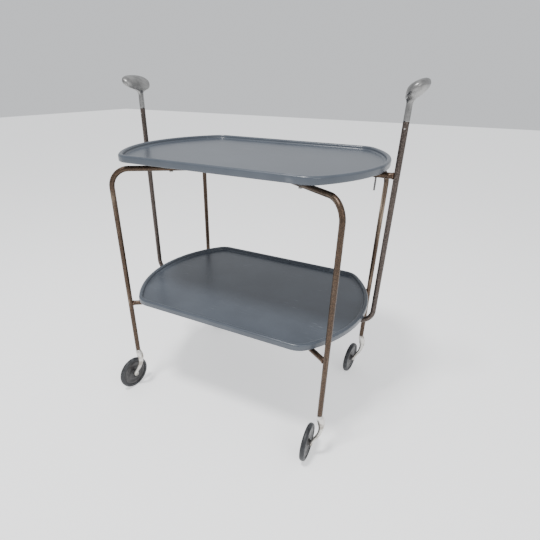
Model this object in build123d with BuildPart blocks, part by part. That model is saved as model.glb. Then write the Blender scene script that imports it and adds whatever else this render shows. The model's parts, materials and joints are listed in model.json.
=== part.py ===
from build123d import *
import math
import os

# A two-tray trolley on four swivelling castors. The origin is on the floor, midway between the
# legs. X runs along the trays from handle to handle, Y across them, Z up. Millimetres.

# Trays
tray_end_r = 297.0           # both ends are arcs about the tray's own middle
tray_half_y = 207.0
tray_corner_r = 46.0
lower_rim_z = 312.0          # top of the lower rim
upper_rim_z = 652.0          # top of the upper rim
rim_width = 10.0
well_depth = 9.0             # rim top to tray floor
floor_thick = 4.0
skirt_depth = 2.0            # how far the rim hangs below the floor
skirt_width = 5.0            # solid band left under the rim
rim_round = 4.2              # rounding of the rim's top edges
skirt_round = 2.0            # rounding of the rim's lower outer edge
well_round = 4.5             # where the rim's inner wall meets the floor
boss_r = 8.0                 # screw bosses under the floor

# Tubes
tube_r = 6.0                 # outside radius of every frame tube
tube_wall = 1.2
leg_y = 184.0                # leg axes, from the middle
leg_gap = 21.3               # tray end to a leg, measured outwards from the middle
leg_bend_r = 42.0            # centre-line radius where a leg turns in under the upper tray
handle_gap = 13.0            # tray end to an upright handle tube
handle_rise = 74.0           # upper rim to the top of a handle tube
handle_bend_r = 32.0
rail_stub = 20.0             # straight run left on each handle tube before its joint with the rail
tie_gap = 4.0                # foot of a rim to the lengthwise tube under it

# Saddles between the crossing tubes and the trays
saddle_reach = 190.0         # middle of the trolley to each saddle, along its tube
saddle_length = 30.0
saddle_width = 20.0
saddle_corner_r = 3.3
saddle_rise = 8.0            # top of the crossing tube to the foot of a boss
screw_r = 2.0
screw_hole_clearance = 0.25
screw_bite = 6.0             # how far a screw runs into its boss
screw_head_r = 4.2
screw_head_h = 2.4

# Pin under the right-hand end of the upper lengthwise tube
stop_pin_inset = 40.0        # from the right upright's axis
stop_pin_r = 1.9
stop_pin_drop = 26.0         # how far it hangs below the tube

# Grips
grip_length = 84.0           # across the trolley
grip_width = 42.0
grip_thick = 24.0
grip_reach = 13.0            # middle of the head, outwards from the tube
grip_rise = 57.0             # top of the tube to the middle of the head
grip_tilt = 26.0             # outer edge raised
grip_neck = 38.0             # length of the round neck
grip_root_width = 21.0       # where the neck flares into the head
grip_root_length = 37.0
grip_root_drop = 4.0         # below the middle of the head
spigot_length = 28.0
grip_rivet_r = 1.5
grip_rivet_drop = 12.0       # below the top of the tube
grip_rivet_proud = 0.6

# Castors
wheel_r = 45.0
wheel_headroom = 37.0        # top of a wheel to the foot of its leg
tyre_width = 12.0
tyre_depth = 9.0             # radial
tyre_round = 4.6
bead_round = 1.5
web_width = 6.0              # disc between hub and tyre
hub_r = 9.0
hub_width = 12.6
hub_round = 1.3
castor_offset = 20.0         # wheel's middle plane, sideways from the swivel axis
castor_trail = 12.0          # axle, behind the swivel axis
bush_wall = 0.75
bush_length = 20.0
bush_flange = 1.2
stem_length = 26.0           # above the foot of the leg
stem_socket = 14.0           # stem's length inside the arm
clip_thick = 1.2
clip_width = 0.5
axle_r = 3.0
axle_boss_r = 7.0
axle_boss_length = 7.0
cap_r = 6.5
cap_thick = 3.0
cap_round = 1.5
cap_socket = 1.5             # how far the axle's end is let into the cap
bearing_wall = 2.0
running_clearance = 0.05     # radial, shaft in its bush
side_clearance = 0.5         # between a turning face and a still one

# Sizes that follow from the ones above
rim_height = well_depth + floor_thick + skirt_depth
tie_drop = rim_height + tie_gap + tube_r             # rim top to the axis of the lengthwise tube
cross_drop = tie_drop + 2 * tube_r                   # the crossing tubes pass just under it
boss_drop = cross_drop - tube_r - saddle_rise
bore_r = tube_r - tube_wall
stem_r = bore_r - bush_wall - running_clearance
leg_reach = tray_end_r + leg_gap + tube_r
leg_x = math.sqrt(leg_reach ** 2 - leg_y ** 2)
leg_foot_z = 2 * wheel_r + wheel_headroom
handle_x = tray_end_r + handle_gap + tube_r
handle_top_z = upper_rim_z + handle_rise
stop_pin_x = handle_x - stop_pin_inset
grip_z = handle_top_z + grip_rise
cross_angle = math.degrees(math.atan2(leg_y, leg_x))
rim_heights = {"upper": upper_rim_z, "lower": lower_rim_z}
corners = {
    "front_left": (-1, -1),
    "front_right": (1, -1),
    "back_left": (-1, 1),
    "back_right": (1, 1),
}
castor_headings = {          # how far each castor is swivelled as it stands, in degrees
    "front_left": -8.0,
    "front_right": 3.0,
    "back_left": 170.0,
    "back_right": -6.0,
}
os.makedirs("parts", exist_ok=True)


def save(piece, name):
    piece.part.label = name
    export_step(piece.part, f"parts/{name}.step")


def upright_plane(angle):
    """Vertical plane through the trolley's middle: its x runs outwards at the angle, its y is up."""
    along = Vector(1, 0, 0).rotate(Axis.Z, angle)
    return Plane(origin=(0, 0, 0), x_dir=along, z_dir=along.cross(Vector(0, 0, 1)))


def tube_section(path):
    """A tube's ring section, square to the start of its path."""
    with BuildSketch(Plane(origin=path @ 0, z_dir=path % 0)) as ring:
        Circle(tube_r)
        Circle(bore_r, mode=Mode.SUBTRACT)
    return ring.sketch


def at_saddles(angles):
    """Places on the crossing tubes where a tray is carried."""
    turns = [Vector(saddle_reach, 0, 0).rotate(Axis.Z, angle) for angle in angles]
    return [(turn.X, turn.Y) for turn in turns]


diagonals = {"right_a": cross_angle, "left_a": cross_angle + 180,
             "right_b": -cross_angle, "left_b": 180 - cross_angle}
screw_places = at_saddles(diagonals.values())


# Trays: one moulding each, a shallow dish with a rounded rim and four screw bosses underneath
def tray_outline(plane, inset):
    with BuildSketch(plane) as outline:
        Circle(tray_end_r - inset)
        Rectangle(2 * tray_end_r, 2 * (tray_half_y - inset), mode=Mode.INTERSECT)
        fillet(outline.vertices(), tray_corner_r - inset)
    return outline.sketch


for level, rim_z in rim_heights.items():
    floor_z = rim_z - well_depth
    underside_z = floor_z - floor_thick
    with BuildPart() as tray:
        add(tray_outline(Plane.XY.offset(rim_z - rim_height), 0))
        extrude(amount=rim_height)
        add(tray_outline(Plane.XY.offset(floor_z), rim_width))
        extrude(amount=well_depth, mode=Mode.SUBTRACT)
        add(tray_outline(Plane.XY.offset(rim_z - rim_height), skirt_width))
        extrude(amount=underside_z - rim_z + rim_height, mode=Mode.SUBTRACT)
        fillet(tray.faces().sort_by(Axis.Z)[-1].edges(), rim_round)
        fillet(tray.faces().filter_by(Plane.XY).sort_by(Axis.Z)[0].outer_wire().edges(), skirt_round)
        well_floor = tray.faces().filter_by(Plane.XY).sort_by(Axis.Z)[-2]    # next below the rim's top
        fillet(well_floor.edges(), well_round)
        with BuildSketch(Plane.XY.offset(underside_z)):
            with Locations(*screw_places):
                Circle(boss_r)
        extrude(amount=rim_z - boss_drop - underside_z)
        with BuildSketch(Plane.XY.offset(rim_z - boss_drop)):
            with Locations(*screw_places):
                Circle(screw_r)
        extrude(amount=screw_bite, mode=Mode.SUBTRACT)
    save(tray, f"{level}_tray")


def screw_holes(rim_z):
    """Rods to drill through a crossing tube and its saddle."""
    with BuildPart() as drills:
        with BuildSketch(Plane.XY.offset(rim_z - cross_drop - 2 * tube_r)):
            with Locations(*screw_places):
                Circle(screw_r + screw_hole_clearance)
        extrude(amount=cross_drop - boss_drop + 2 * tube_r)
    return drills.part


def straight_rod(angle, z, reach):
    """Solid bar of the tubes' outside size from the middle outwards, to cope a tube's end against."""
    plane = upright_plane(angle)
    with BuildPart() as rod:
        with BuildSketch(Plane(origin=(0, 0, z), z_dir=plane.x_dir)):
            Circle(tube_r)
        extrude(amount=reach, both=True)
    return rod.part


def post_rod(x, y, top):
    """Solid upright bar of the tubes' outside size. Its seam faces away from the trolley's middle, so
    that it is clear of the tube ends that are coped against the bar."""
    with BuildPart() as post:
        with BuildSketch(Plane(origin=(x, y, 0), x_dir=(x, y, 0), z_dir=(0, 0, 1))):
            Circle(tube_r)
        extrude(amount=top)
    return post.part


# Legs: one tube bent into an arch runs from corner to corner, and two half arches are welded to it
upper_cross_z = upper_rim_z - cross_drop
lower_cross_z = lower_rim_z - cross_drop
with BuildPart() as arch:
    with BuildLine(upright_plane(cross_angle)) as arch_path:
        FilletPolyline((-leg_reach, leg_foot_z), (-leg_reach, upper_cross_z),
                       (leg_reach, upper_cross_z), (leg_reach, leg_foot_z), radius=leg_bend_r)
    sweep(sections=tube_section(arch_path.line), path=arch_path.line)
    add(screw_holes(upper_rim_z), mode=Mode.SUBTRACT)
save(arch, "leg_arch")

for side, angle in {"right": diagonals["right_b"], "left": diagonals["left_b"]}.items():
    with BuildPart() as half_arch:
        with BuildLine(upright_plane(angle)) as half_path:
            FilletPolyline((leg_reach, leg_foot_z), (leg_reach, upper_cross_z), (0, upper_cross_z),
                           radius=leg_bend_r)
        sweep(sections=tube_section(half_path.line), path=half_path.line)
        add(straight_rod(cross_angle, upper_cross_z, leg_reach / 2), mode=Mode.SUBTRACT)
        add(screw_holes(upper_rim_z), mode=Mode.SUBTRACT)
    save(half_arch, f"half_arch_{side}")

# Lower cross: one long tube between two legs and two short ones, coped to the legs and to each other
leg_posts = [post_rod(x * leg_x, y * leg_y, upper_cross_z) for x, y in corners.values()]
with BuildPart() as long_bar:
    with BuildLine(upright_plane(cross_angle)) as long_path:
        Line((-leg_reach, lower_cross_z), (leg_reach, lower_cross_z))
    sweep(sections=tube_section(long_path.line), path=long_path.line)
    add(leg_posts, mode=Mode.SUBTRACT)
    add(screw_holes(lower_rim_z), mode=Mode.SUBTRACT)
save(long_bar, "lower_long_bar")

for side, angle in {"right": diagonals["right_b"], "left": diagonals["left_b"]}.items():
    with BuildPart() as short_bar:
        with BuildLine(upright_plane(angle)) as short_path:
            Line((0, lower_cross_z), (leg_reach, lower_cross_z))
        sweep(sections=tube_section(short_path.line), path=short_path.line)
        add(leg_posts, mode=Mode.SUBTRACT)
        add(straight_rod(cross_angle, lower_cross_z, leg_reach / 2), mode=Mode.SUBTRACT)
        add(screw_holes(lower_rim_z), mode=Mode.SUBTRACT)
    save(short_bar, f"lower_short_bar_{side}")

# Handle frame: two bent uprights joined by a straight rail that lies lengthwise on the lower cross
rail_z = lower_rim_z - tie_drop
rail_end_x = handle_x - handle_bend_r - rail_stub
rivet_z = handle_top_z - grip_rivet_drop
with BuildPart() as handle_rail:
    with BuildLine(Plane.XZ) as rail_path:
        Line((-rail_end_x, rail_z), (rail_end_x, rail_z))
    sweep(sections=tube_section(rail_path.line), path=rail_path.line)
save(handle_rail, "handle_rail")

for side, sign in {"right": 1, "left": -1}.items():
    with BuildPart() as upright:
        with BuildLine(Plane.XZ) as upright_path:
            FilletPolyline((sign * rail_end_x, rail_z), (sign * handle_x, rail_z),
                           (sign * handle_x, handle_top_z), radius=handle_bend_r)
        sweep(sections=tube_section(upright_path.line), path=upright_path.line)
        with BuildSketch(Plane.XZ):
            with Locations((sign * handle_x, rivet_z)):
                Circle(grip_rivet_r)
        extrude(amount=2 * tube_r, both=True, mode=Mode.SUBTRACT)
    save(upright, f"handle_upright_{side}")

# Upper tie: lengthwise tube between the two uprights, resting on the crossing of the arches
tie_z = upper_rim_z - tie_drop
with BuildPart() as upper_tie:
    with BuildLine(Plane.XZ) as tie_path:
        Line((-handle_x, tie_z), (handle_x, tie_z))
    sweep(sections=tube_section(tie_path.line), path=tie_path.line)
    add([post_rod(side * handle_x, 0, handle_top_z) for side in (-1, 1)], mode=Mode.SUBTRACT)
    with BuildSketch(Plane.XY.offset(tie_z)):
        with Locations((stop_pin_x, 0)):
            Circle(stop_pin_r)
    extrude(amount=-2 * tube_r, mode=Mode.SUBTRACT)
save(upper_tie, "upper_tie")

with BuildPart() as stop_pin:
    with BuildSketch(Plane.XY.offset(tie_z)):
        with Locations((stop_pin_x, 0)):
            Circle(stop_pin_r)
    extrude(amount=-tube_r - stop_pin_drop)
save(stop_pin, "stop_pin")

# Saddles and screws: a block cut to sit over the tube under each boss, held by a screw from below
for level, rim_z in rim_heights.items():
    cross_z = rim_z - cross_drop
    seat_z = rim_z - boss_drop
    with BuildPart() as saddles:
        for angle in diagonals.values():
            with BuildSketch(Plane.XY.offset(cross_z)):
                with Locations(Location((0, 0, 0), (0, 0, angle))):
                    with Locations((saddle_reach, 0)):
                        RectangleRounded(saddle_length, saddle_width, saddle_corner_r)
        extrude(amount=seat_z - cross_z)
        for angle in (cross_angle, -cross_angle):
            add(straight_rod(angle, cross_z, leg_reach), mode=Mode.SUBTRACT)
        add(screw_holes(rim_z), mode=Mode.SUBTRACT)
    save(saddles, f"{level}_saddles")

    with BuildPart() as screws:
        for place in screw_places:
            with Locations((place[0], place[1], cross_z - tube_r)):
                Cylinder(screw_r, seat_z + screw_bite - cross_z + tube_r,
                         align=(Align.CENTER, Align.CENTER, Align.MIN))
                Cylinder(screw_head_r, screw_head_h, align=(Align.CENTER, Align.CENTER, Align.MAX))
    save(screws, f"{level}_screws")

# Grips: a cast head on a round neck that plugs into the upright and is riveted
with BuildPart() as head_blank:
    Sphere(grip_length / 2)
head = scale(head_blank.part, by=(grip_width / grip_length, 1, grip_thick / grip_length))

with BuildPart() as grip_right:
    with BuildSketch(Plane.XY.offset(handle_top_z)):
        with Locations((handle_x, 0)):
            Circle(tube_r)
    extrude(amount=grip_neck)
    with BuildSketch(Plane.XY.offset(handle_top_z)):
        with Locations((handle_x, 0)):
            Circle(bore_r)
    extrude(amount=-spigot_length)
    with BuildSketch(Plane.XY.offset(handle_top_z + grip_neck)):
        with Locations((handle_x, 0)):
            Circle(tube_r)
    root_place = Plane(origin=(handle_x + grip_reach / 2, 0, grip_z - grip_root_drop))
    with BuildSketch(root_place.rotated((0, -grip_tilt, 0))):
        Ellipse(grip_root_width / 2, grip_root_length / 2)
    loft()
    with Locations(Location((handle_x + grip_reach, 0, grip_z), (0, -grip_tilt, 0))):
        add(head)
    with BuildSketch(Plane.XZ):
        with Locations((handle_x, rivet_z)):
            Circle(grip_rivet_r)
    extrude(amount=2 * tube_r, both=True, mode=Mode.SUBTRACT)
save(grip_right, "grip_right")

with BuildPart() as grip_left:
    add(mirror(grip_right.part, about=Plane.YZ))
save(grip_left, "grip_left")

with BuildPart() as rivets:
    with BuildSketch(Plane.XZ):
        with Locations((-handle_x, rivet_z), (handle_x, rivet_z)):
            Circle(grip_rivet_r)
    extrude(amount=tube_r + grip_rivet_proud, both=True)
save(rivets, "grip_rivets")

# Castors: each hangs from a bush in the foot of its leg. The wheel runs beside a single curved arm.
axle_inner_x = -castor_offset - hub_width / 2        # wheel side away from the arm
arm_face_x = -castor_offset + hub_width / 2 + side_clearance
arm_end_x = arm_face_x + axle_boss_length / 2
arm_top_z = leg_foot_z - bush_flange - side_clearance
arm_stations = [
    # sideways and backwards as shares of the boss's place, bulge outwards, share of the arm's rise,
    # section radius
    (0.00, 0.00, 0.0, 1.00, 6.4),
    (0.00, 0.00, 2.0, 0.90, 8.0),
    (0.00, -0.05, 5.0, 0.76, 8.4),
    (0.00, 0.15, 7.0, 0.58, 6.2),
    (0.20, 0.50, 6.0, 0.38, 4.8),
    (0.68, 0.86, 2.0, 0.16, 4.2),
    (0.92, 1.00, 0.0, 0.05, 4.0),
]

for corner, (side_x, side_y) in corners.items():
    heading = castor_headings[corner]
    sideways = Vector(1, 0, 0).rotate(Axis.Z, heading)
    backwards = Vector(0, -1, 0).rotate(Axis.Z, heading)
    foot = Vector(side_x * leg_x, side_y * leg_y, 0)
    foot_plane = Plane(origin=foot, x_dir=sideways, z_dir=(0, 0, 1))
    axle_plane = Plane(origin=foot + backwards * castor_trail + Vector(0, 0, wheel_r),
                       x_dir=(0, 0, 1), z_dir=sideways)

    with BuildPart() as bush:
        with BuildSketch(foot_plane.offset(leg_foot_z - bush_flange)):
            Circle(tube_r)
        extrude(amount=bush_flange)
        with BuildSketch(foot_plane.offset(leg_foot_z)):
            Circle(bore_r)
        extrude(amount=bush_length)
        with BuildSketch(foot_plane.offset(leg_foot_z - bush_flange)):
            Circle(stem_r + running_clearance)
        extrude(amount=bush_length + bush_flange, mode=Mode.SUBTRACT)
    save(bush, f"stem_bush_{corner}")

    clip_z = leg_foot_z + bush_length + side_clearance
    stem_top_z = leg_foot_z + stem_length
    with BuildPart() as stem:
        with BuildSketch(foot_plane.offset(arm_top_z - stem_socket)):
            Circle(stem_r)
        extrude(amount=stem_top_z - arm_top_z + stem_socket)
        with BuildSketch(foot_plane.offset(clip_z)):
            Circle(stem_r)
            Circle(stem_r - clip_width, mode=Mode.SUBTRACT)
        extrude(amount=clip_thick, mode=Mode.SUBTRACT)
    save(stem, f"stem_{corner}")

    with BuildPart() as clip:
        with BuildSketch(foot_plane.offset(clip_z)):
            Circle(stem_r + clip_width)
            Circle(stem_r - clip_width, mode=Mode.SUBTRACT)
        extrude(amount=clip_thick)
    save(clip, f"stem_clip_{corner}")

    with BuildPart() as arm:
        arm_points = [foot + sideways * (across * arm_end_x + bulge) + backwards * (back * castor_trail)
                      + Vector(0, 0, wheel_r + share * (arm_top_z - wheel_r))
                      for across, back, bulge, share, _ in arm_stations]
        with BuildLine() as arm_path:
            Spline(*arm_points, tangents=[(0, 0, -1), (arm_points[-1] - arm_points[-2]).normalized()])
        curve = arm_path.edge()
        for point, station in zip(arm_points, arm_stations):
            with BuildSketch(Plane(origin=point, z_dir=curve % curve.param_at_point(point))):
                Circle(station[-1])
        loft()
        with BuildSketch(axle_plane.offset(arm_face_x)):
            Circle(axle_boss_r)
        extrude(amount=axle_boss_length)
        with BuildSketch(foot_plane.offset(arm_top_z)):
            Circle(stem_r)
        extrude(amount=-stem_socket, mode=Mode.SUBTRACT)
        with BuildSketch(axle_plane.offset(arm_face_x)):
            Circle(axle_r)
        extrude(amount=axle_boss_length, mode=Mode.SUBTRACT)
    save(arm, f"castor_arm_{corner}")

    with BuildPart() as axle:
        with BuildSketch(axle_plane.offset(axle_inner_x - side_clearance - cap_socket)):
            Circle(axle_r)
        extrude(amount=arm_face_x + axle_boss_length - axle_inner_x + side_clearance + cap_socket)
    save(axle, f"axle_{corner}")

    with BuildPart() as cap:
        with BuildSketch(axle_plane.offset(axle_inner_x - side_clearance)):
            Circle(cap_r)
        extrude(amount=-cap_thick)
        fillet(cap.faces().sort_by(Axis(axle_plane.origin, sideways))[0].edges(), cap_round)
        with BuildSketch(axle_plane.offset(axle_inner_x - side_clearance)):
            Circle(axle_r)
        extrude(amount=-cap_socket, mode=Mode.SUBTRACT)
    save(cap, f"hub_cap_{corner}")

    bearing_r = axle_r + running_clearance + bearing_wall
    with BuildPart() as bearing:
        with BuildSketch(axle_plane.offset(axle_inner_x)):
            Circle(bearing_r)
            Circle(axle_r + running_clearance, mode=Mode.SUBTRACT)
        extrude(amount=hub_width)
    save(bearing, f"wheel_bearing_{corner}")

    rim_r = wheel_r - tyre_depth
    with BuildPart() as disc:
        with BuildSketch(axle_plane.offset(-castor_offset)):
            Circle(hub_r)
        extrude(amount=hub_width / 2, both=True)
        with BuildSketch(axle_plane.offset(-castor_offset)):
            Circle(rim_r)
        extrude(amount=web_width / 2, both=True)
        fillet(disc.edges().filter_by(GeomType.CIRCLE).filter_by(
            lambda edge: abs(edge.radius - hub_r) < 0.01), hub_round)
        with BuildSketch(axle_plane.offset(-castor_offset)):
            Circle(bearing_r)
        extrude(amount=hub_width / 2, both=True, mode=Mode.SUBTRACT)
    save(disc, f"wheel_disc_{corner}")

    with BuildPart() as tyre:
        with BuildSketch(axle_plane.offset(-castor_offset)):
            Circle(wheel_r)
            Circle(rim_r, mode=Mode.SUBTRACT)
        extrude(amount=tyre_width / 2, both=True)
        fillet(tyre.edges().filter_by(GeomType.CIRCLE).filter_by(
            lambda edge: abs(edge.radius - wheel_r) < 0.01), tyre_round)
        fillet(tyre.edges().filter_by(GeomType.CIRCLE).filter_by(
            lambda edge: abs(edge.radius - rim_r) < 0.01), bead_round)
    save(tyre, f"tyre_{corner}")
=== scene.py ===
import json
import bmesh
import bpy
import numpy as np
from mathutils import Matrix, Vector


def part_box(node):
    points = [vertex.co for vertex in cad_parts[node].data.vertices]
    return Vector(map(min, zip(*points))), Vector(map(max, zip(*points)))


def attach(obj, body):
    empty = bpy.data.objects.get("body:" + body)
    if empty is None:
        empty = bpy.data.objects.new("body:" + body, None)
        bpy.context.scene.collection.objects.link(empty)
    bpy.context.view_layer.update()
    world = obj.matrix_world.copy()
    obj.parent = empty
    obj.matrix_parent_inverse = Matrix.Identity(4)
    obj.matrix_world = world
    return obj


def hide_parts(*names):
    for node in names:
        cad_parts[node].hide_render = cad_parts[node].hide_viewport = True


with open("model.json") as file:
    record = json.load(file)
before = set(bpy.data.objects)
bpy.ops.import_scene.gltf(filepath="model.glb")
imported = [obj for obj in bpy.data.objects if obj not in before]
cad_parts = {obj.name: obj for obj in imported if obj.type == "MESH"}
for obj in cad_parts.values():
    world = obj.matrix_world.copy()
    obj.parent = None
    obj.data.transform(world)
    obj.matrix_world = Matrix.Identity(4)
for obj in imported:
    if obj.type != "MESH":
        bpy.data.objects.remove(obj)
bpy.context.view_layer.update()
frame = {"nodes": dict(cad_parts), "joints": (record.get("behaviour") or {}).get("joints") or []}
nodes = frame["nodes"]
joints = {joint["name"]: joint for joint in frame["joints"]}
corners = ("front_left", "front_right", "back_left", "back_right")

# TRAYS. Two identical dishes moulded in grey-blue plastic: a broad rounded rim, a shallow well and
# a flat underside. The ends are arcs about the tray's middle, so that the corners stay clear of the
# legs. Each dish sits on four saddles and is screwed from below.
TRAY_HALF_X, TRAY_HALF_Y = 0.297, 0.207      # reach of the end arcs, and of the straight sides
TRAY_CORNER = 0.046
RIM_WIDTH, RIM_HEIGHT, WELL_DEPTH = 0.010, 0.015, 0.009
RIM_TOP_ROUND, RIM_FOOT_ROUND, WELL_ROUND = 0.0042, 0.002, 0.0045
SKIRT_WIDTH, SKIRT_DEPTH = 0.005, 0.002
TRAY_SAG = 0.0012                            # the floor has crept down a little in its middle


def surface(name, grid, closed_rows=False, closed_columns=False, uv=None):
    """Mesh from a (rows, columns, 3) grid of points: each cell of four neighbours is one face.
    A row whose points all coincide is a pole, and is welded to one point."""
    rows, columns = grid.shape[:2]
    index = np.arange(rows * columns).reshape(rows, columns)
    down = np.roll(index, -1, 0) if closed_rows else index[1:]
    here = index if closed_rows else index[:-1]
    if closed_columns:
        faces = np.stack([here, np.roll(here, -1, 1), np.roll(down, -1, 1), down], -1)
    else:
        faces = np.stack([here[:, :-1], here[:, 1:], down[:, 1:], down[:, :-1]], -1)
    faces = faces.reshape(-1, 4)
    mesh = bpy.data.meshes.new(name)
    mesh.vertices.add(rows * columns)
    mesh.vertices.foreach_set("co", grid.reshape(-1).astype(np.float32))
    mesh.loops.add(faces.size)
    mesh.loops.foreach_set("vertex_index", faces.reshape(-1).astype(np.int32))
    mesh.polygons.add(len(faces))
    mesh.polygons.foreach_set("loop_start", np.arange(0, faces.size, 4, dtype=np.int32))
    mesh.update(calc_edges=True)
    mesh.polygons.foreach_set("use_smooth", np.ones(len(faces), dtype=bool))
    if uv is not None:
        layer = mesh.uv_layers.new(name="along")
        layer.data.foreach_set("uv", uv.reshape(-1, 2)[faces.reshape(-1)].reshape(-1).astype(np.float32))
    weld(mesh)
    piece = bpy.data.objects.new(name, mesh)
    bpy.context.scene.collection.objects.link(piece)
    return piece


def weld(mesh):
    """Merges points that coincide, and turns every face outwards."""
    work = bmesh.new()
    work.from_mesh(mesh)
    bmesh.ops.remove_doubles(work, verts=work.verts, dist=1e-7)
    bmesh.ops.recalc_face_normals(work, faces=work.faces)
    work.to_mesh(mesh)
    work.free()


def quarter(centre_in, centre_z, radius, start, stop, count=7):
    """Arc of a rim's section: inset = centre - r cos t, height = centre + r sin t, t in degrees."""
    turn = np.radians(np.linspace(start, stop, count))
    return np.stack([centre_in - radius * np.cos(turn), centre_z + radius * np.sin(turn)], -1)


def tray_outline():
    """Half-round trip of the plan as (base point, outward normal): an end arc about the middle, a
    corner arc tangent to both, the straight side, and the same again turned by half a turn."""
    corner_x = np.sqrt((TRAY_HALF_X - TRAY_CORNER) ** 2 - (TRAY_HALF_Y - TRAY_CORNER) ** 2)
    corner_y = TRAY_HALF_Y - TRAY_CORNER
    meet = np.arctan2(corner_y, corner_x)
    end = np.linspace(-meet, meet, 61)[:-1]
    turn = np.linspace(meet, np.pi / 2, 15)[:-1]
    side = np.linspace(corner_x, -corner_x, 49)[:-1]
    back = np.linspace(np.pi / 2, np.pi - meet, 15)[:-1]
    end_n = np.stack([np.cos(end), np.sin(end)], -1)
    turn_n = np.stack([np.cos(turn), np.sin(turn)], -1)
    back_n = np.stack([np.cos(back), np.sin(back)], -1)
    side_n = np.repeat([[0.0, 1.0]], len(side), 0)
    side_p = np.stack([side, np.full(len(side), TRAY_HALF_Y)], -1)
    corner = np.array([corner_x, corner_y])
    points = np.concatenate([end_n * TRAY_HALF_X, corner + turn_n * TRAY_CORNER, side_p,
                             corner * (-1, 1) + back_n * TRAY_CORNER])
    normals = np.concatenate([end_n, turn_n, side_n, back_n])
    return np.concatenate([points, -points]), np.concatenate([normals, -normals])


def tray_rows(rim_z):
    """Section of the dish carried round the outline. Rows run from the middle of the underside, out
    round the rim and back to the middle of the well; flat parts shrink the outline to the middle."""
    base, normal = tray_outline()
    foot = rim_z - RIM_HEIGHT
    floor = rim_z - WELL_DEPTH
    outer = RIM_TOP_ROUND
    section = np.concatenate([
        [[SKIRT_WIDTH, foot + SKIRT_DEPTH], [SKIRT_WIDTH, foot]],
        quarter(RIM_FOOT_ROUND, foot + RIM_FOOT_ROUND, RIM_FOOT_ROUND, -90, 0),
        [[0, foot + 0.35 * RIM_HEIGHT]],
        quarter(outer, rim_z - outer, outer, 0, 90, 9),
        quarter(RIM_WIDTH - outer, rim_z - outer, outer, 90, 180, 9),
        quarter(RIM_WIDTH + WELL_ROUND, floor + WELL_ROUND, WELL_ROUND, 0, -90, 9)])
    rim = base[None] - section[:, 0, None, None] * normal[None]
    rim = np.concatenate([rim, np.broadcast_to(section[:, 1, None, None], rim.shape[:2] + (1,))], -1)
    shrink = np.linspace(1, 0, 31)[1:]
    inner = np.concatenate([shrink[:, None, None] * rim[-1, None, :, :2],
                            np.full((len(shrink), len(base), 1), floor)], -1)
    inner[:, :, 2] -= TRAY_SAG * np.sin(0.5 * np.pi * (1 - shrink[:, None])) ** 2
    under = np.concatenate([shrink[::-1, None, None] * rim[0, None, :, :2],
                            np.full((len(shrink), len(base), 1), foot + SKIRT_DEPTH)], -1)
    return np.concatenate([under, rim, inner])


class Field:
    """A shader socket that can be written into sums: an expression on it adds its Math nodes."""

    def __init__(self, tree, socket):
        self.tree = tree
        self.socket = socket

    def maths(self, operation, first, second=0.5):
        made = add_node(self.tree, "ShaderNodeMath", {"operation": operation}, {0: first, 1: second})
        return Field(self.tree, made.outputs[0])

    def __add__(self, other):
        return self.maths("ADD", self, other)

    def __mul__(self, other):
        return self.maths("MULTIPLY", self, other)

    def __sub__(self, other):
        return self.maths("SUBTRACT", self, other)

    def __rsub__(self, other):
        return self.maths("SUBTRACT", other, self)

    def ramp(self, low, high):
        """0 below low, 1 above high, smooth between."""
        made = add_node(self.tree, "ShaderNodeMapRange", {"interpolation_type": "SMOOTHSTEP"},
                        {"Value": self, "From Min": low, "From Max": high})
        return Field(self.tree, made.outputs["Result"])


def add_node(tree, kind, settings, values):
    """One shader node: its settings first, then its sockets, each given a value or linked."""
    made = tree.nodes.new(kind)
    for name, setting in settings.items():
        setattr(made, name, setting)
    for name, value in values.items():
        if isinstance(value, Field):
            tree.links.new(value.socket, made.inputs[name])
        else:
            made.inputs[name].default_value = value
    return made


def blank_material(name):
    """New material with only its shader and output: returns it, its node tree and the shader."""
    made = bpy.data.materials.new(name)
    made.use_nodes = True
    return made, made.node_tree, made.node_tree.nodes["Principled BSDF"]


def place_field(tree, scale=(1, 1, 1), turn=(0, 0, 0), along_uv=False):
    """Where a point is on its piece, stretched and turned."""
    where = add_node(tree, "ShaderNodeTexCoord", {}, {})
    source = Field(tree, where.outputs["UV" if along_uv else "Object"])
    moved = add_node(tree, "ShaderNodeMapping", {}, {"Vector": source, "Scale": scale, "Rotation": turn})
    return Field(tree, moved.outputs[0])


def noise(tree, where, scale, detail=3.0, rough=0.5, warp=0.0):
    made = add_node(tree, "ShaderNodeTexNoise", {}, {"Vector": where, "Scale": scale, "Detail": detail,
                                                     "Roughness": rough, "Distortion": warp})
    return Field(tree, made.outputs["Fac"])


def blend(tree, amount, first, second):
    """Colour between two, by an amount from 0 to 1."""
    made = add_node(tree, "ShaderNodeMix", {"data_type": "RGBA"}, {0: amount})
    for spot, colour in ((6, first), (7, second)):
        if isinstance(colour, Field):
            tree.links.new(colour.socket, made.inputs[spot])
        else:
            made.inputs[spot].default_value = (*colour, 1)
    return Field(tree, made.outputs[2])


def bump(tree, shader, height, strength, distance):
    made = add_node(tree, "ShaderNodeBump", {}, {"Height": height, "Strength": strength,
                                                 "Distance": distance})
    tree.links.new(made.outputs["Normal"], shader.inputs["Normal"])


def scratches(tree, turn, spacing, width):
    """Thin broken lines in one direction: a stretched noise crosses its middle value on each line,
    and a second noise leaves only a few short stretches of them."""
    lines = noise(tree, place_field(tree, (1.0, spacing, 1.0), (0, 0, turn)), 3.0, 2.0)
    away = lines.maths("ABSOLUTE", lines - 0.5)
    where = noise(tree, place_field(tree, (1, 1, 1), (0, 0, turn)), 9.0, 2.0)
    return (1 - away.ramp(0.0, width)) * where.ramp(0.60, 0.70)


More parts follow.
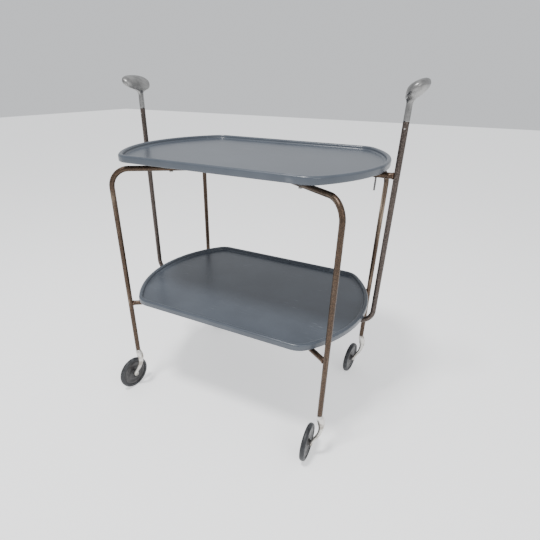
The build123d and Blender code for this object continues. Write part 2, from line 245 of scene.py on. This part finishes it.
tray_plastic, tree, shader = blank_material("tray_plastic")
cloud = noise(tree, place_field(tree), 7.0, 4.0, 0.6)
speck = noise(tree, place_field(tree), 220.0, 2.0)
scuff = (scratches(tree, 0.5, 26.0, 0.010) + scratches(tree, -0.9, 30.0, 0.008)
         + scratches(tree, 1.4, 22.0, 0.008))
tray_colour = blend(tree, cloud.ramp(0.35, 0.68), (0.050, 0.060, 0.076), (0.064, 0.076, 0.094))
tray_colour = blend(tree, speck.ramp(0.60, 0.80) * 0.25, tray_colour, (0.095, 0.105, 0.120))
tray_colour = blend(tree, scuff * 0.40, tray_colour, (0.28, 0.30, 0.33))
tree.links.new(tray_colour.socket, shader.inputs["Base Color"])
tree.links.new((cloud * 0.10 + scuff * 0.10 + 0.27).socket, shader.inputs["Roughness"])
shader.inputs["Specular IOR Level"].default_value = 0.5
shader.inputs["Coat Weight"].default_value = 0.12
shader.inputs["Coat Roughness"].default_value = 0.30
bump(tree, shader, noise(tree, place_field(tree), 900.0, 2.0) + cloud * 2.0, 0.10, 0.0002)

for level in ("upper", "lower"):
    rim_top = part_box(f"{level}_tray")[1].z
    tray = surface(f"{level}_tray_moulding", tray_rows(rim_top), closed_columns=True)
    tray.data.materials.append(tray_plastic)
    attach(tray, "frame")
    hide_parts(f"{level}_tray")

# FRAME TUBES. Plated steel tube bent cold: an arch from corner to corner with two half arches welded
# to it, the cross under the lower tray, the rail and two uprights that carry the grips, and the tie
# under the upper tray. The plating has tarnished brown, with bright patches.
TUBE_R, TUBE_WALL = 0.006, 0.0012
TUBE_GIRTH = 0.0377                          # round the outside
TUBE_POINTS = 33                             # round the section: the last repeats the first
LEG_BEND, HANDLE_BEND = 0.042, 0.032
arch_low, arch_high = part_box("leg_arch")
leg = np.array([arch_high.x, arch_high.y]) - TUBE_R
foot_z = arch_low.z
upper_cross_z = arch_high.z - TUBE_R
bar_low, bar_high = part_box("lower_long_bar")
lower_cross_z = (bar_low.z + bar_high.z) / 2
upright_low, upright_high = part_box("handle_upright_right")
handle_x = upright_high.x - TUBE_R
handle_foot_z = upright_low.z + TUBE_R
handle_top_z = upright_high.z
rail_end_x = upright_low.x
tie_z = sum(corner.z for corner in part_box("upper_tie")) / 2


def rounded_path(points, bend, step=0.006):
    """Centre line through the points with each corner replaced by an arc of the bend radius, as points
    about a step apart or closer. An arc's are centre + r (cos, sin) in the plane of its two runs."""
    points = [np.array(point, float) for point in points]
    pieces = [points[0][None]]
    for before, corner, after in zip(points, points[1:], points[2:]):
        inward = (before - corner) / np.linalg.norm(before - corner)
        onward = (after - corner) / np.linalg.norm(after - corner)
        half = 0.5 * np.arccos(np.clip(inward @ onward, -1, 1))
        middle = corner + (inward + onward) / np.linalg.norm(inward + onward) * bend / np.sin(half)
        start = corner + inward * bend / np.tan(half) - middle
        across = corner + onward * bend / np.tan(half) - middle
        sweep = np.pi - 2 * half
        side = (across - start * np.cos(sweep)) / np.sin(sweep)
        turn = np.linspace(0, sweep, 19)[:, None]
        pieces.append(middle + start * np.cos(turn) + side * np.sin(turn))
    pieces.append(points[-1][None])
    joined = np.concatenate(pieces)
    length = np.concatenate([[0], np.cumsum(np.linalg.norm(np.diff(joined, axis=0), axis=1))])
    extra = np.linspace(0, length[-1], max(2, int(length[-1] / step)))
    places = np.unique(np.concatenate([length, extra]).round(6))
    return np.stack([np.interp(places, length, joined[:, axis]) for axis in range(3)], -1), places


def carried_tube(name, points, bend, radius, bore):
    """Round section carried along a flat path: p = path + r (cos a * flat + sin a * rise). The section
    turns back into the tube at both ends, so that an open end shows its wall and a dark bore."""
    path, places = rounded_path(points, bend)
    tangent = np.gradient(path, axis=0)
    tangent /= np.linalg.norm(tangent, axis=1)[:, None]
    flat = np.cross(tangent[0], tangent[len(path) // 2])
    if np.linalg.norm(flat) < 1e-6:
        flat = np.cross(tangent[0], (0.0, 0.0, 1.0) if abs(tangent[0][2]) < 0.9 else (0.0, 1.0, 0.0))
    flat /= np.linalg.norm(flat)
    rise = np.cross(flat, tangent)
    around = np.linspace(0, 2 * np.pi, TUBE_POINTS)
    ring = np.cos(around)[None, :, None] * flat + np.sin(around)[None, :, None] * rise[:, None]
    outside = path[:, None] + radius * ring
    lip = 0.0004
    depth = 0.012
    first = [path[0] + tangent[0] * depth + bore * ring[0], path[0] + bore * ring[0],
             path[0] + (radius - lip) * ring[0], path[0] + tangent[0] * lip + radius * ring[0]]
    last = [path[-1] - tangent[-1] * lip + radius * ring[-1], path[-1] + (radius - lip) * ring[-1],
            path[-1] + bore * ring[-1], path[-1] - tangent[-1] * depth + bore * ring[-1]]
    first_plug = np.repeat((path[0] + tangent[0] * depth)[None, None], TUBE_POINTS, 1)
    last_plug = np.repeat((path[-1] - tangent[-1] * depth)[None, None], TUBE_POINTS, 1)
    grid = np.concatenate([first_plug, np.stack(first), outside[1:-1], np.stack(last), last_plug])
    run = np.concatenate([[0] * 5, places[1:-1], [places[-1]] * 5])
    cells = (len(run), TUBE_POINTS)
    uv = np.stack([np.broadcast_to(around / (2 * np.pi) * TUBE_GIRTH, cells),
                   np.broadcast_to(run[:, None], cells)], -1)
    return surface(name, grid, uv=uv)


def tube_finish(name, tarnish, dark, warm, bright):
    """Worn plating: long streaks and small spots of brown over pale metal, the more the tarnish."""
    made, tree, shader = blank_material(name)
    streak = noise(tree, place_field(tree, (420, 9, 1), along_uv=True), 1.0, 3.0, 0.5)
    patch = noise(tree, place_field(tree, (40, 11, 1), along_uv=True), 0.6, 3.0, 0.55, 0.3)
    spot = noise(tree, place_field(tree), 420.0, 3.0, 0.6)
    worn = (patch * 0.60 + streak * 0.34 + spot * 0.06).ramp(tarnish, tarnish + 0.24)
    brown = blend(tree, spot.ramp(0.42, 0.62), dark, warm)
    tree.links.new(blend(tree, worn, brown, bright).socket, shader.inputs["Base Color"])
    tree.links.new((0.34 - worn * 0.18 + spot * 0.08).socket, shader.inputs["Roughness"])
    tree.links.new((worn * 0.35 + 0.62).socket, shader.inputs["Metallic"])
    bump(tree, shader, spot + streak * 0.5, 0.12, 0.0002)
    return made


leg_plating = tube_finish("leg_plating", 0.50, (0.040, 0.025, 0.016), (0.088, 0.055, 0.034),
                          (0.40, 0.32, 0.24))
handle_plating = tube_finish("handle_plating", 0.53, (0.046, 0.036, 0.031), (0.105, 0.083, 0.072),
                             (0.42, 0.36, 0.30))


def at_leg(side_x, side_y, z):
    return (side_x * leg[0], side_y * leg[1], z)


reach = np.hypot(*leg)
touch = TUBE_R / reach
tube_runs = {
    "leg_arch": ([at_leg(-1, -1, foot_z), at_leg(-1, -1, upper_cross_z), at_leg(1, 1, upper_cross_z),
                  at_leg(1, 1, foot_z)], LEG_BEND, leg_plating),
    "half_arch_right": ([at_leg(1, -1, foot_z), at_leg(1, -1, upper_cross_z),
                         at_leg(touch, -touch, upper_cross_z)], LEG_BEND, leg_plating),
    "half_arch_left": ([at_leg(-1, 1, foot_z), at_leg(-1, 1, upper_cross_z),
                        at_leg(-touch, touch, upper_cross_z)], LEG_BEND, leg_plating),
    "lower_long_bar": ([at_leg(touch - 1, touch - 1, lower_cross_z),
                        at_leg(1 - touch, 1 - touch, lower_cross_z)], LEG_BEND, leg_plating),
    "lower_short_bar_right": ([at_leg(touch, -touch, lower_cross_z),
                               at_leg(1 - touch, touch - 1, lower_cross_z)], LEG_BEND, leg_plating),
    "lower_short_bar_left": ([at_leg(-touch, touch, lower_cross_z),
                              at_leg(touch - 1, 1 - touch, lower_cross_z)], LEG_BEND, leg_plating),
    "handle_rail": ([(-rail_end_x, 0, handle_foot_z), (rail_end_x, 0, handle_foot_z)],
                    HANDLE_BEND, handle_plating),
    "handle_upright_right": ([(rail_end_x, 0, handle_foot_z), (handle_x, 0, handle_foot_z),
                              (handle_x, 0, handle_top_z)], HANDLE_BEND, handle_plating),
    "handle_upright_left": ([(-rail_end_x, 0, handle_foot_z), (-handle_x, 0, handle_foot_z),
                             (-handle_x, 0, handle_top_z)], HANDLE_BEND, handle_plating),
    "upper_tie": ([(TUBE_R - handle_x, 0, tie_z), (handle_x - TUBE_R, 0, tie_z)],
                  HANDLE_BEND, leg_plating),
}
for node, (run, bend, finish) in tube_runs.items():
    tube = carried_tube(f"{node}_bent", run, bend, TUBE_R, TUBE_R - TUBE_WALL)
    tube.data.materials.append(finish)
    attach(tube, "frame")
    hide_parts(node)

# WELDS. A small brazed fillet stands where a lower bar meets its leg, where the tie meets an upright
# and where an upright meets the rail: a narrow uneven collar of brownish metal round the end.
WELD_WIDTH, WELD_LIP = 0.0042, 0.0012
WELD_REACH = 1.25                            # tube radii from the axis of the tube that it meets
weld_metal, tree, shader = blank_material("brazed_metal")
grain = noise(tree, place_field(tree), 300.0, 3.0, 0.6)
weld_colour = blend(tree, grain.ramp(0.4, 0.65), (0.085, 0.050, 0.034), (0.22, 0.15, 0.11))
tree.links.new(weld_colour.socket, shader.inputs["Base Color"])
tree.links.new((grain * 0.3 + 0.35).socket, shader.inputs["Roughness"])
shader.inputs["Metallic"].default_value = 0.7
bump(tree, shader, grain, 0.4, 0.0006)


def collar(name, centre, direction, radius, width, lip):
    """Ring about a tube: radius swells as r + lip cos(t)^2 over the collar's width, with a ripple
    of eleven waves round it, and both edges run down into the tube's skin."""
    direction = np.array(direction, float)
    direction /= np.linalg.norm(direction)
    side = np.cross(direction, (0.0, 0.0, 1.0) if abs(direction[2]) < 0.9 else (0.0, 1.0, 0.0))
    side /= np.linalg.norm(side)
    rise = np.cross(direction, side)
    around = np.linspace(0, 2 * np.pi, 41)[:-1]
    along = np.linspace(-1, 1, 9)
    ripple = 1 + 0.12 * np.sin(11 * around)[None]
    swell = radius - 0.0004 + (lip + 0.0004) * (np.cos(0.5 * np.pi * along) ** 2)[:, None] * ripple
    ring = np.cos(around)[:, None] * side + np.sin(around)[:, None] * rise
    grid = np.array(centre) + swell[:, :, None] * ring + along[:, None, None] * 0.5 * width * direction
    ends = np.array([[[-0.5]], [[0.5]]]) * width * direction
    inside = np.array(centre) + (radius - 0.0008) * ring[None] + ends
    return surface(name, np.concatenate([inside[:1], grid, inside[1:]]), True, True)


weld_spots = {}
for number, (side_x, side_y) in enumerate(((-1, -1), (1, -1), (-1, 1), (1, 1))):
    inward = (-side_x * leg[0], -side_y * leg[1], 0)
    back = 1 - WELD_REACH * touch
    weld_spots[f"leg_weld_{corners[number]}"] = (at_leg(side_x * back, side_y * back, lower_cross_z), inward)
for name, side in (("left", -1), ("right", 1)):
    weld_spots[f"tie_weld_{name}"] = ((side * (handle_x - WELD_REACH * TUBE_R), 0, tie_z), (1, 0, 0))
    weld_spots[f"rail_weld_{name}"] = ((side * rail_end_x, 0, handle_foot_z), (1, 0, 0))
for name, (spot, direction) in weld_spots.items():
    bead = collar(name, spot, direction, TUBE_R, WELD_WIDTH, WELD_LIP)
    bead.data.materials.append(weld_metal)
    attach(bead, "frame")

# GRIPS. Sand-cast aluminium: a round neck plugs into the tube and flares into a full egg-shaped head,
# longer across the trolley than along it and tipped up outwards. Dull, with paler patches and dark pits.
# height above the tube's end, outward reach, half width, half length, tip of the section in degrees
grip_stations = np.array([
    (0.0000, 0.0000, 0.0060, 0.0060, 0),
    (0.0160, 0.0000, 0.0060, 0.0060, 0),
    (0.0310, 0.0000, 0.0060, 0.0060, 0),
    (0.0370, 0.0012, 0.0085, 0.0092, 5),
    (0.0410, 0.0040, 0.0125, 0.0180, 11),
    (0.0450, 0.0072, 0.0165, 0.0290, 17),
    (0.0490, 0.0096, 0.0192, 0.0375, 22),
    (0.0535, 0.0108, 0.0204, 0.0412, 24),
    (0.0580, 0.0106, 0.0202, 0.0414, 25),
    (0.0622, 0.0100, 0.0184, 0.0392, 25),
    (0.0655, 0.0095, 0.0146, 0.0330, 25),
    (0.0675, 0.0092, 0.0090, 0.0220, 25),
    (0.0682, 0.0091, 0.0000, 0.0000, 25)])


def smooth_rows(table, count):
    """Catmull-Rom curve through the rows of a table, sampled evenly in the row number."""
    padded = np.concatenate([2 * table[:1] - table[1:2], table, 2 * table[-1:] - table[-2:-1]])
    spot = np.linspace(0, len(table) - 1, count)
    first = np.minimum(spot.astype(int), len(table) - 2)
    part = (spot - first)[:, None]
    a, b, c, d = (padded[first + shift] for shift in range(4))
    return 0.5 * (2 * b + (c - a) * part + (2 * a - 5 * b + 4 * c - d) * part ** 2
                  + (3 * b - a - 3 * c + d) * part ** 3)


def grip_rows(side):
    """Superellipse sections stacked up the neck and tipped: x and y are the half width and half length
    times cos and sin, each raised to a power with its sign kept. Each section is turned about Y by its
    tip and moved outwards by its reach."""
    rows = smooth_rows(grip_stations, 90)
    height, outward, wide, long_, tip = (rows[:, column, None] for column in range(5))
    wide, long_ = np.maximum(wide, 0), np.maximum(long_, 0)
    around = np.linspace(0, 2 * np.pi, 73)[:-1][None]
    square = 0.90
    across = wide * np.sign(np.cos(around)) * np.abs(np.cos(around)) ** square
    y = long_ * np.sign(np.sin(around)) * np.abs(np.sin(around)) ** square
    lean = np.radians(tip)
    x = side * (handle_x + outward + across * np.cos(lean))
    z = handle_top_z + height + across * np.sin(lean)
    grid = np.stack(np.broadcast_arrays(x, y, z), -1)
    foot = grid[:1].copy()
    foot[..., :2] = (side * handle_x, 0)
    grid[-1] = grid[-1].mean(0)
    return np.concatenate([foot, grid])


cast_metal, tree, shader = blank_material("cast_aluminium")
sand = noise(tree, place_field(tree), 500.0, 3.0, 0.6)
dull = noise(tree, place_field(tree), 38.0, 4.0, 0.6)
cast_colour = blend(tree, dull.ramp(0.36, 0.66), (0.200, 0.198, 0.195), (0.350, 0.346, 0.338))
cast_colour = blend(tree, sand.ramp(0.60, 0.78) * 0.6, cast_colour, (0.14, 0.13, 0.12))
tree.links.new(cast_colour.socket, shader.inputs["Base Color"])
tree.links.new((dull * 0.25 + 0.28).socket, shader.inputs["Roughness"])
shader.inputs["Metallic"].default_value = 0.9
bump(tree, shader, sand * 0.6 + dull, 0.18, 0.0004)
for name, side in (("left", -1), ("right", 1)):
    grip = surface(f"grip_{name}_casting", grip_rows(side), closed_columns=True)
    grip.data.materials.append(cast_metal)
    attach(grip, "frame")
    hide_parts(f"grip_{name}")

# CASTOR ARMS. One casting each: a round knob under the leg's foot that swings outwards and then back
# down to a boss beside the wheel. Bright metal with duller, browner patches.
arm_metal, tree, shader = blank_material("castor_casting")
sand = noise(tree, place_field(tree), 420.0, 3.0, 0.6)
dull = noise(tree, place_field(tree), 60.0, 4.0, 0.6)
arm_colour = blend(tree, dull.ramp(0.34, 0.60), (0.33, 0.30, 0.26), (0.66, 0.645, 0.61))
tree.links.new(arm_colour.socket, shader.inputs["Base Color"])
tree.links.new((dull * 0.2 + 0.25).socket, shader.inputs["Roughness"])
shader.inputs["Metallic"].default_value = 0.85
bump(tree, shader, sand + dull, 0.15, 0.0003)
# sideways and backwards from the swivel axis, share of the height above the axle, half width, half depth
arm_stations = np.array([
    (0.0000, 0.0000, 1.000, 0.0062, 0.0062),
    (0.0006, 0.0000, 0.960, 0.0070, 0.0070),
    (0.0020, 0.0000, 0.900, 0.0080, 0.0080),
    (0.0048, -0.0006, 0.770, 0.0084, 0.0084),
    (0.0070, 0.0018, 0.580, 0.0060, 0.0066),
    (0.0041, 0.0060, 0.380, 0.0046, 0.0054),
    (-0.0046, 0.0103, 0.160, 0.0040, 0.0052),
    (-0.0089, 0.0120, 0.040, 0.0040, 0.0058),
    (-0.0096, 0.0123, -0.040, 0.0034, 0.0050),
    (-0.0098, 0.0124, -0.080, 0.0000, 0.0000)])


def arm_rows(foot, top_z, axle_z, sideways, backwards):
    """Oval sections carried down the arm's curve: p = curve + a cos t * side + b sin t * rise, where side
    is the axle's direction turned square to the curve, so that the arm lies flat against the wheel."""
    rows = smooth_rows(arm_stations, 84)
    curve = np.array((foot[0], foot[1], axle_z)) + rows[:, :1] * sideways + rows[:, 1:2] * backwards
    curve[:, 2] += rows[:, 2] * (top_z - axle_z)
    tangent = np.gradient(curve, axis=0)
    tangent /= np.linalg.norm(tangent, axis=1)[:, None]
    side = sideways - tangent * (tangent @ sideways)[:, None]
    side /= np.linalg.norm(side, axis=1)[:, None]
    rise = np.cross(tangent, side)
    around = np.linspace(0, 2 * np.pi, 37)[:-1]
    half = np.maximum(rows[:, 3:], 0)
    grid = (curve[:, None] + half[:, :1, None] * np.cos(around)[None, :, None] * side[:, None]
            + half[:, 1:, None] * np.sin(around)[None, :, None] * rise[:, None])
    top = np.repeat(curve[:1, None], len(around), 1)
    grid[-1] = grid[-1].mean(0)
    return np.concatenate([top, grid])


# WHEELS. A dark moulded disc with a hub boss and a raised ring, carrying a thin solid rubber tyre with
# a fully rounded tread. Each turns on a steel axle that is held in the arm's boss.
HALF_TYRE, HALF_HUB, HALF_WEB = 0.0060, 0.0063, 0.0030
RIM_R = 0.036
BOSS_GAP, BOSS_LENGTH = 0.0005, 0.0070       # between hub and boss, and of the boss
rubber, tree, shader = blank_material("tyre_rubber")
dust = noise(tree, place_field(tree), 70.0, 4.0, 0.65)
rubber_colour = blend(tree, dust.ramp(0.45, 0.75), (0.016, 0.017, 0.020), (0.060, 0.062, 0.066))
tree.links.new(rubber_colour.socket, shader.inputs["Base Color"])
tree.links.new((dust * 0.2 + 0.42).socket, shader.inputs["Roughness"])
bump(tree, shader, noise(tree, place_field(tree), 700.0, 2.0) + dust, 0.15, 0.0003)
disc_plastic, tree, shader = blank_material("wheel_plastic")
dust = noise(tree, place_field(tree), 55.0, 4.0, 0.6)
disc_colour = blend(tree, dust.ramp(0.42, 0.72), (0.012, 0.011, 0.012), (0.045, 0.042, 0.042))
tree.links.new(disc_colour.socket, shader.inputs["Base Color"])
tree.links.new((dust * 0.25 + 0.25).socket, shader.inputs["Roughness"])
bump(tree, shader, dust, 0.10, 0.0004)


def turned(name, centre, sideways, backwards, profile):
    """Profile of (distance along the axle, radius r) spun about the axle:
    p = centre + distance * sideways + r (cos t * backwards + sin t * up)."""
    profile = np.array(profile, float)
    around = np.linspace(0, 2 * np.pi, 97)[:-1]
    spoke = np.cos(around)[:, None] * backwards + np.sin(around)[:, None] * np.array((0.0, 0.0, 1.0))
    grid = centre + profile[:, 0, None, None] * sideways + profile[:, 1, None, None] * spoke
    return surface(name, grid, True, True)


def tyre_profile(wheel_r, rim_r, half):
    """Closed section: the tread is half of a superellipse, and each side wall has a fine groove."""
    turn = np.linspace(-0.5 * np.pi, 0.5 * np.pi, 31)
    flank = rim_r + 0.40 * (wheel_r - rim_r)
    tread = np.stack([half * np.sign(np.sin(turn)) * np.abs(np.sin(turn)) ** 0.85,
                      flank + (wheel_r - flank) * np.abs(np.cos(turn)) ** 0.85], -1)
    inner = [(0.90 * half, flank - 0.0012), (0.86 * half, flank - 0.0017), (0.90 * half, flank - 0.0022),
             (0.86 * half, rim_r + 0.0006), (0.74 * half, rim_r)]
    mirrored = [(-x, r) for x, r in reversed(inner)]
    return np.concatenate([tread, inner, mirrored])


for corner in corners:
    foot = joints[f"castor_swivel_{corner}"]["pos_m"]
    spin = joints[f"wheel_spin_{corner}"]
    hub = np.array(spin["pos_m"], float)
    sideways = np.array(spin["axis"], float)
    backwards = np.array((sideways[1], -sideways[0], 0.0))
    tyre = turned(f"tyre_{corner}_rubber", hub, sideways, backwards, tyre_profile(hub[2], RIM_R, HALF_TYRE))
    tyre.data.materials.append(rubber)
    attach(tyre, f"wheel_{corner}")
    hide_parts(f"tyre_{corner}")
    face = [(HALF_HUB, 0.0052), (HALF_HUB, 0.0080), (HALF_HUB - 0.0009, 0.0090),
            (HALF_WEB + 0.0006, 0.0100), (HALF_WEB, 0.0112), (HALF_WEB, 0.0150),
            (HALF_WEB + 0.0008, 0.0158), (HALF_WEB + 0.0008, 0.0172), (HALF_WEB, 0.0180),
            (HALF_WEB, 0.0262), (HALF_WEB + 0.0010, 0.0272), (HALF_WEB + 0.0012, RIM_R - 0.0006),
            (HALF_WEB + 0.0004, RIM_R)]
    disc = turned(f"wheel_disc_{corner}_moulding", hub, sideways, backwards,
                  face + [(-x, r) for x, r in reversed(face)])
    disc.data.materials.append(disc_plastic)
    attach(disc, f"wheel_{corner}")
    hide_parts(f"wheel_disc_{corner}")
    arm_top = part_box(f"castor_arm_{corner}")[1].z
    arm = surface(f"castor_arm_{corner}_casting", arm_rows(foot, arm_top, hub[2], sideways, backwards),
                  closed_columns=True)
    arm.data.materials.append(arm_metal)
    boss_face = HALF_HUB + BOSS_GAP
    boss_end = boss_face + BOSS_LENGTH
    boss = turned(f"axle_boss_{corner}", hub, sideways, backwards, [
        (boss_face, 0.0032), (boss_face, 0.0064), (boss_face + 0.0006, 0.0070), (boss_end - 0.0018, 0.0068),
        (boss_end - 0.0004, 0.0060), (boss_end, 0.0048), (boss_end, 0.0032)])
    boss.data.materials.append(arm_metal)
    for casting in (arm, boss):
        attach(casting, f"castor_{corner}")
    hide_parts(f"castor_arm_{corner}")

# SMALL PARTS. Turned and pressed steel: foot bushes, stems and clips, axles, caps, rivets, screws and
# the pin under the tie; black plastic saddles; a brass bearing in each wheel. Their CAD shapes are
# right, so they only get their metal.


def plain_metal(name, low, high, rough, metallic=1.0):
    """Plain metal or plastic: slow changes of tone, and a fine grain in the bump."""
    made, tree, shader = blank_material(name)
    tone = noise(tree, place_field(tree), 140.0, 3.0, 0.6)
    tree.links.new(blend(tree, tone.ramp(0.35, 0.65), low, high).socket, shader.inputs["Base Color"])
    tree.links.new((tone * 0.2 + rough).socket, shader.inputs["Roughness"])
    shader.inputs["Metallic"].default_value = metallic
    bump(tree, shader, noise(tree, place_field(tree), 900.0, 2.0), 0.08, 0.0002)
    return made


steel = plain_metal("turned_steel", (0.26, 0.25, 0.24), (0.48, 0.47, 0.45), 0.28)
pin_steel = plain_metal("darkened_steel", (0.07, 0.07, 0.07), (0.16, 0.155, 0.15), 0.35)
cap_steel = plain_metal("cap_steel", (0.40, 0.40, 0.40), (0.66, 0.65, 0.64), 0.22)
brass = plain_metal("bearing_brass", (0.45, 0.30, 0.11), (0.62, 0.45, 0.20), 0.30)
saddle_plastic = plain_metal("saddle_plastic", (0.015, 0.015, 0.017), (0.040, 0.040, 0.043), 0.42, 0.0)
small_parts = {"stop_pin": pin_steel, "upper_screws": steel, "lower_screws": steel, "grip_rivets": steel,
               "upper_saddles": saddle_plastic, "lower_saddles": saddle_plastic}
for corner in corners:
    small_parts[f"stem_bush_{corner}"] = steel
    small_parts[f"stem_{corner}"] = steel
    small_parts[f"stem_clip_{corner}"] = steel
    small_parts[f"axle_{corner}"] = steel
    small_parts[f"hub_cap_{corner}"] = cap_steel
    small_parts[f"wheel_bearing_{corner}"] = brass
for node, finish in small_parts.items():
    nodes[node].data.materials.clear()
    nodes[node].data.materials.append(finish)

# STUDIO. White seamless floor with a glow of its own, a soft light high in front so that the upper tray
# shades the back of the lower one, a weaker light to the right, and a plain pale surround.
floor_material, tree, shader = blank_material("studio_floor")
shader.inputs["Base Color"].default_value = (0.93, 0.93, 0.93, 1)
shader.inputs["Roughness"].default_value = 0.9
shader.inputs["Emission Color"].default_value = (1.0, 1.0, 1.0, 1)
shader.inputs["Emission Strength"].default_value = 0.60
floor = surface("studio_floor", np.array([[(-9.0, -9.0, 0.0), (9.0, -9.0, 0.0)],
                                          [(-9.0, 9.0, 0.0), (9.0, 9.0, 0.0)]]))
floor.data.materials.append(floor_material)
world = bpy.data.worlds.new("studio")
bpy.context.scene.world = world
world.use_nodes = True
world.node_tree.nodes["Background"].inputs["Color"].default_value = (0.95, 0.97, 1.0, 1)
world.node_tree.nodes["Background"].inputs["Strength"].default_value = 0.80


def soft_light(name, place, target, size, power):
    lamp = bpy.data.lights.new(name, "AREA")
    lamp.shape = "DISK"
    lamp.size = size
    lamp.energy = power
    holder = bpy.data.objects.new(name, lamp)
    holder.location = place
    holder.rotation_euler = (Vector(target) - Vector(place)).to_track_quat("-Z", "Y").to_euler()
    bpy.context.scene.collection.objects.link(holder)


soft_light("key", (-0.20, -1.03, 2.75), (0.0, -0.05, 0.45), 0.45, 66)
soft_light("fill", (2.2, -1.4, 1.8), (0.0, 0.0, 0.4), 1.6, 18)

# CAMERA. At the height of the grips, close in front and to the right of the trolley, looking down
# through a wide lens.
FOCAL, IMAGE = 399.0, 540.0
CENTRE_X, CENTRE_Y = 257.0, 298.5
YAW, PITCH, ROLL = 0.471, 0.501, 0.013
CAMERA_PLACE = (0.4397, -0.8437, 0.7907)
forward = Vector((-np.sin(YAW) * np.cos(PITCH), np.cos(YAW) * np.cos(PITCH), -np.sin(PITCH)))
level_right = Vector((np.cos(YAW), np.sin(YAW), 0))
level_up = level_right.cross(forward)
right = level_right * np.cos(ROLL) + level_up * np.sin(ROLL)
up = right.cross(forward)
lens = bpy.data.cameras.new("camera")
lens.sensor_width = 36
lens.lens = 36 * FOCAL / IMAGE
lens.shift_x = (IMAGE / 2 - CENTRE_X) / IMAGE
lens.shift_y = (CENTRE_Y - IMAGE / 2) / IMAGE
camera = bpy.data.objects.new("camera", lens)
turn = Matrix((right, up, -forward)).transposed().to_4x4()
camera.matrix_world = Matrix.Translation(CAMERA_PLACE) @ turn
bpy.context.scene.collection.objects.link(camera)
bpy.context.scene.camera = camera
